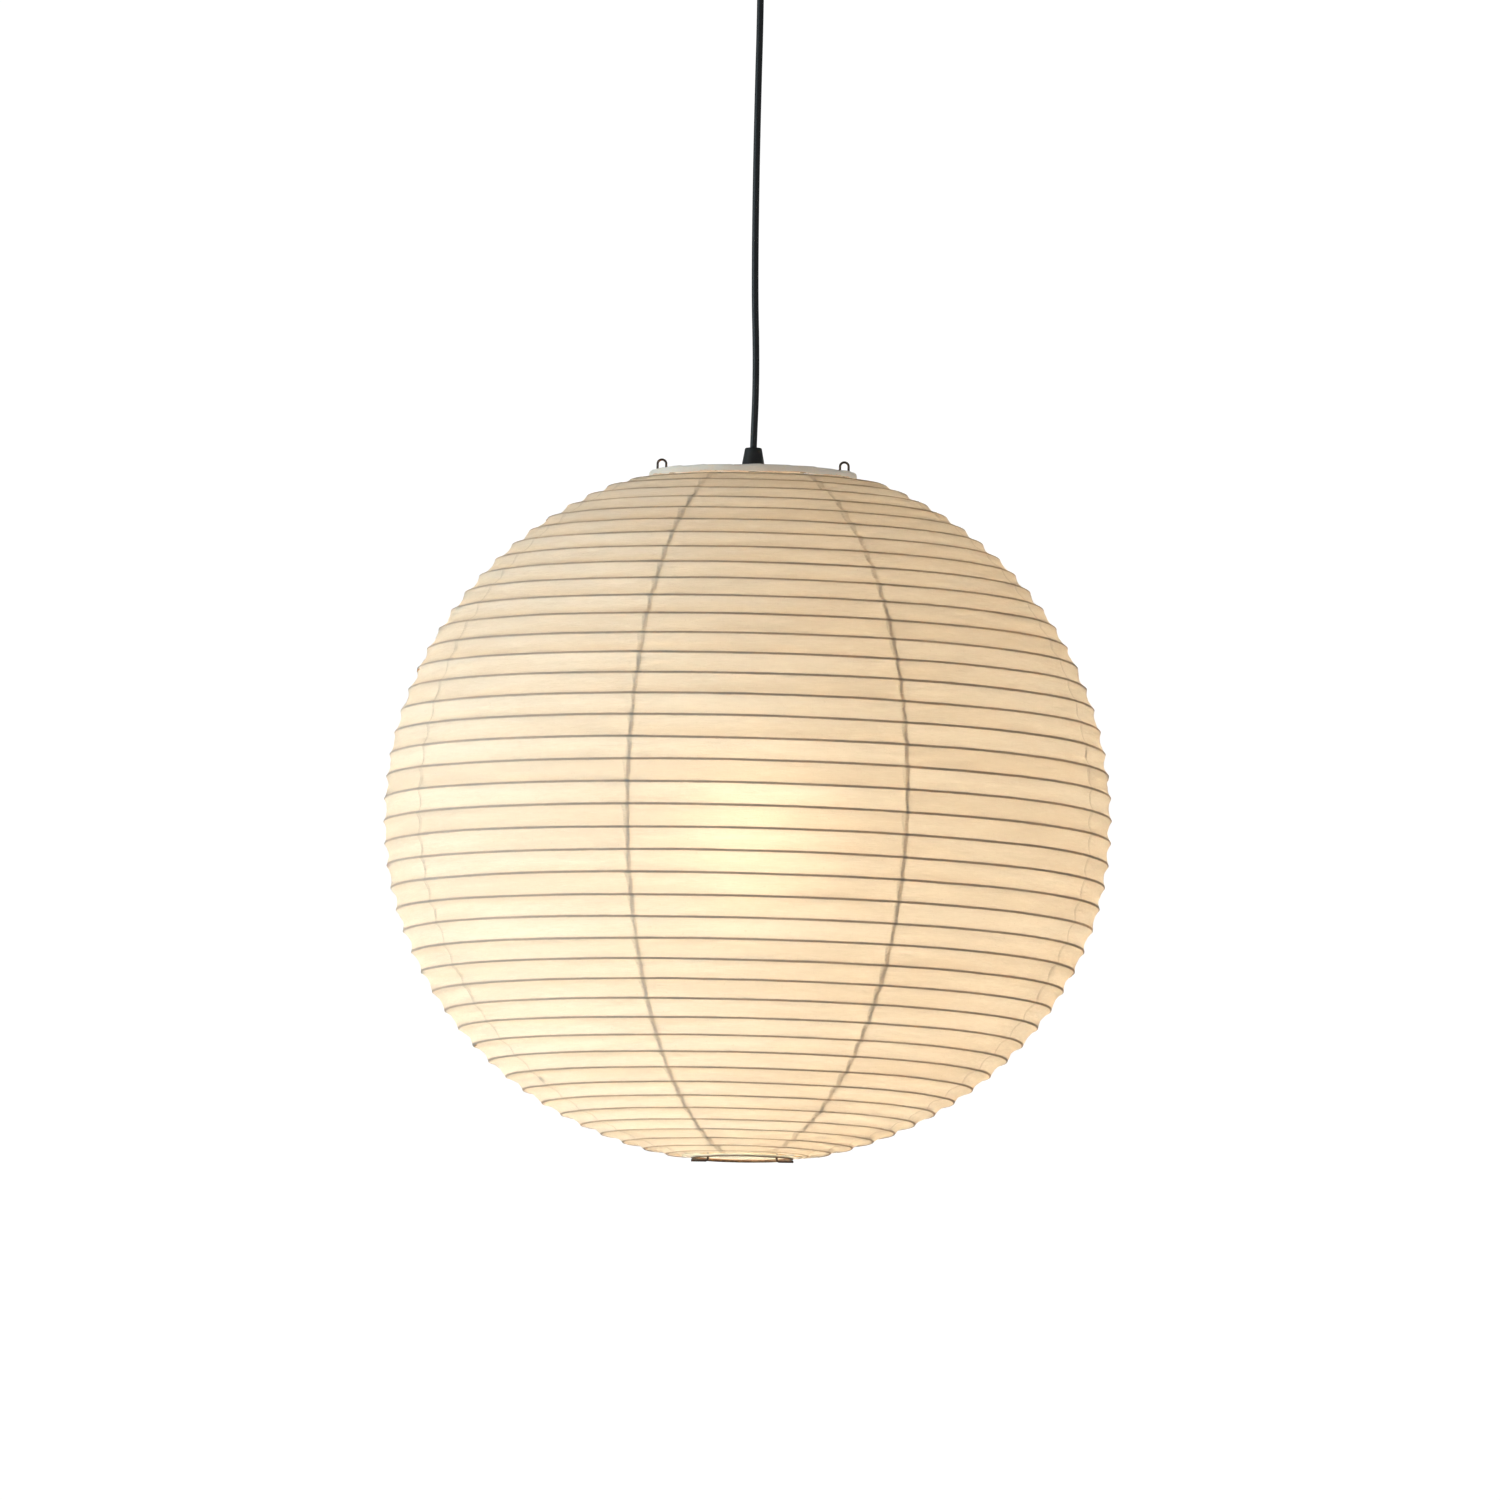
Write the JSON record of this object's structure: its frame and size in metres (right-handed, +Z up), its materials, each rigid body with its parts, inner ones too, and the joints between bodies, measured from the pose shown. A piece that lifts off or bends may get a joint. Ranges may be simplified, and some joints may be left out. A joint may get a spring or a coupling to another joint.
{
  "type": "paper lantern",
  "caption": "Round pendant lantern of translucent paper gores on a spiral bamboo rib, with a wire frame, lamp holder, bulb, black cord and ceiling cup.",
  "frame": {"origin": "on the ceiling plane, midway between the bracket's two fixing holes, on the lantern's axis", "axes": "+Z up out of the ceiling bracket, the lantern hangs along -Z; the front is -Y; the two frame wires stand in the XZ plane"},
  "size_m": [0.546, 0.546, 0.9605],
  "materials": {
    "washi": "matt handmade paper, lit from inside",
    "hoop_paper": "matt paper wrap",
    "bamboo": "split and dried, matt",
    "dark_wire": "thin black lacquer",
    "zinc_steel": "zinc plated",
    "black_plastic": "moulded, fine grain",
    "rubber_collar": "matt",
    "nylon": "natural nylon",
    "black_cord": "smooth, slightly glossy sheath",
    "brass": "plain",
    "ceramic_insert": "unglazed",
    "opal_glass": "opal, satin",
    "bulb_plastic": "smooth",
    "led_board": "bare, white solder mask",
    "nickel_cap": "nickel plated",
    "black_glass": "vitrite",
    "solder": "soldered",
    "brown_lead": "insulation",
    "blue_lead": "insulation"
  },
  "bodies": {
    "ceiling": {"ceiling_bracket": "zinc_steel", "ceiling_stem": "zinc_steel", "stem_nuts": "zinc_steel", "terminal_block": "nylon", "terminal_sleeves": "brass", "terminal_screws": "zinc_steel", "lead_brown": "brown_lead", "lead_blue": "blue_lead", "cord_tail": "black_cord", "ceiling_grip": "black_plastic"},
    "canopy": {"canopy_cup": "black_plastic", "canopy_collar": "rubber_collar"},
    "cord": {"pendant_cord": "black_cord"},
    "lantern": {"cord_cap": "black_plastic", "cap_screw": "nylon", "cap_stem": "zinc_steel", "cap_nut": "zinc_steel", "frame_bridge": "zinc_steel", "frame_leg_left": "dark_wire", "frame_leg_right": "dark_wire", "holder_ring": "zinc_steel", "hoop_core": "bamboo", "hoop_wrap": "hoop_paper", "gore_1": "washi", "gore_2": "washi", "gore_3": "washi", "gore_4": "washi", "gore_5": "washi", "gore_6": "washi", "gore_7": "washi", "gore_8": "washi", "rib_strip_01": "bamboo", "rib_strip_02": "bamboo", "rib_strip_03": "bamboo", "rib_strip_04": "bamboo", "rib_strip_05": "bamboo", "rib_strip_06": "bamboo", "rib_strip_07": "bamboo", "rib_strip_08": "bamboo", "rib_strip_09": "bamboo", "rib_strip_10": "bamboo", "inner_cord": "black_cord", "holder_dome": "black_plastic", "holder_body": "black_plastic", "clamp_ring": "black_plastic", "holder_insert": "ceramic_insert", "screw_shell": "brass", "centre_contact": "brass", "holder_terminals": "brass"},
    "bulb_seat": {"bulb_tip": "solder"},
    "bulb": {"bulb_globe": "opal_glass", "bulb_housing": "bulb_plastic", "led_board": "led_board", "bulb_cap": "nickel_cap", "bulb_insulator": "black_glass"},
    "bottom_hoop": {"bottom_ring": "dark_wire"}
  },
  "joints": [
    {"name": "canopy_slide", "type": "slide", "parent": "ceiling", "child": "canopy", "axis": [0, 0, -1], "range_m": [0, 0.04]},
    {"name": "cord_swing", "type": "hinge", "parent": "ceiling", "child": "cord", "pos_m": [0, 0, -0.072], "axis": [0, 1, 0], "range_deg": [-10, 10]},
    {"name": "lantern_turn", "type": "hinge", "parent": "cord", "child": "lantern", "pos_m": [0, 0, -0.419], "axis": [0, 0, 1], "range_deg": [-180, 180]},
    {"name": "shade_fold", "type": "slide", "parent": "lantern", "child": "bottom_hoop", "axis": [0, 0, 1], "range_m": [0, 0.462], "deforming": ["gore_1", "gore_2", "gore_3", "gore_4", "gore_5", "gore_6", "gore_7", "gore_8", "rib_strip_01", "rib_strip_02", "rib_strip_03", "rib_strip_04", "rib_strip_05", "rib_strip_06", "rib_strip_07", "rib_strip_08", "rib_strip_09", "rib_strip_10"]},
    {"name": "bulb_travel", "type": "slide", "parent": "lantern", "child": "bulb_seat", "axis": [0, 0, -1], "range_m": [0, 0.0182]},
    {"name": "bulb_turn", "type": "hinge", "parent": "bulb_seat", "child": "bulb", "pos_m": [0, 0, -0.65], "axis": [0, 0, -1], "range_deg": [0, 1800]}
  ],
  "couplings": [
    {"joint": "bulb_travel", "follows": "bulb_turn", "m_per_rad": 0.00057614}
  ]
}
